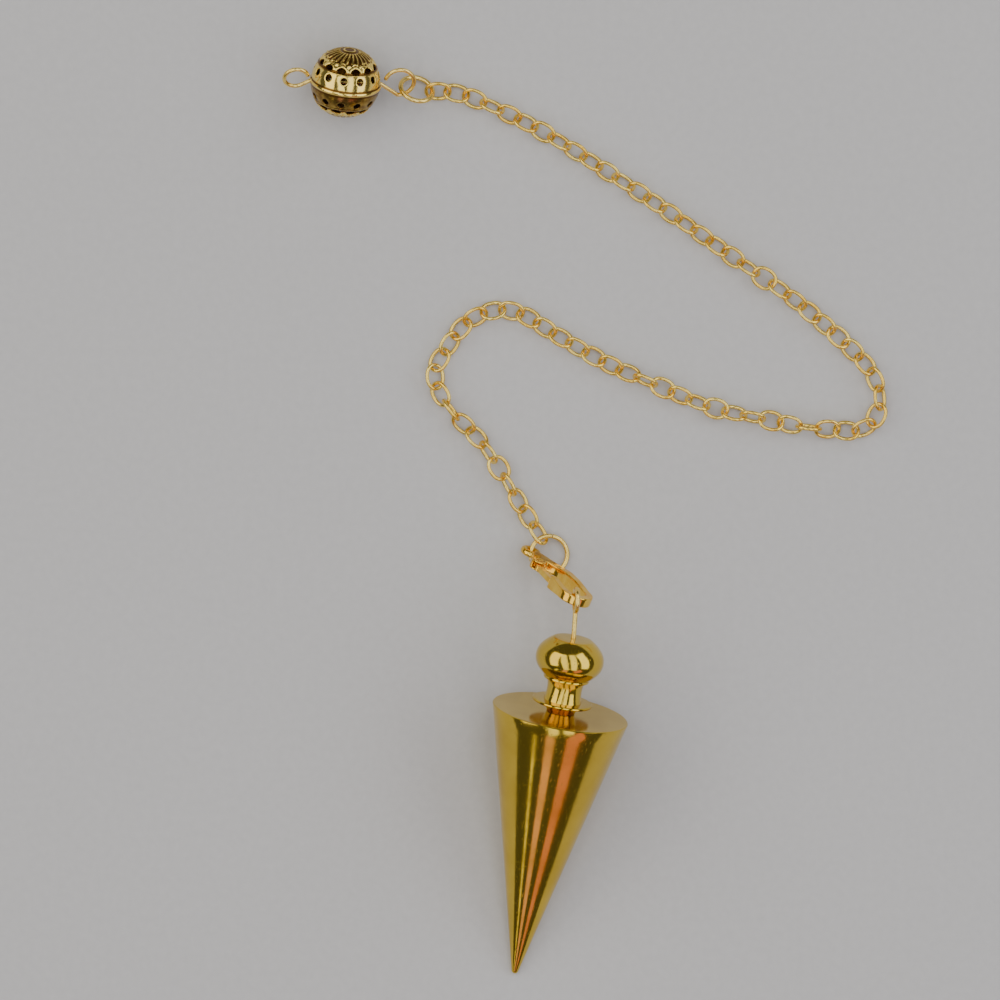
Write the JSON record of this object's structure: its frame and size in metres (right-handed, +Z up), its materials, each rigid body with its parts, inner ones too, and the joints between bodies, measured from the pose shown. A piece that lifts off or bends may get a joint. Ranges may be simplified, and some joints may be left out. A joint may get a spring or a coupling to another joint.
{
  "type": "pendulum pendant",
  "caption": "Pointed brass cone bob with a turned head, hung by a lobster clasp on a cable chain that ends in a pierced filigree ball, laid out in a wide S.",
  "frame": {"origin": "middle of the outline, on the table top that the pendulum lies on", "axes": "+X to the right and +Y away, as it lies in the picture; +Z up from the table"},
  "size_m": [0.0863, 0.1322, 0.019],
  "materials": {
    "bob_brass": "turned and polished, with a few fine scratches",
    "wire_brass": "bright drawn wire",
    "chain_brass": "bright drawn wire",
    "clasp_brass": "polished",
    "antique_brass": "darkened in the hollows, bright on the ridges"
  },
  "bodies": {
    "pendulum": {"cone_bob": "bob_brass", "bob_head": "bob_brass", "bob_eye": "wire_brass", "clasp_body": "clasp_brass", "clasp_pin": "clasp_brass", "clasp_ring": "wire_brass", "chain": "chain_brass", "ball_ring": "wire_brass", "ball_loops": "wire_brass", "filigree_ball": "antique_brass"},
    "gate": {"clasp_gate": "clasp_brass"}
  },
  "joints": [
    {"name": "gate_hinge", "type": "hinge", "parent": "pendulum", "child": "gate", "pos_m": [-0.00693, -0.0076, 0.00517], "axis": [0.3674, 0.8769, 0.31], "range_deg": [0, 25], "stiffness_Nm_per_rad": 0.004, "springref_deg": -22.92}
  ]
}
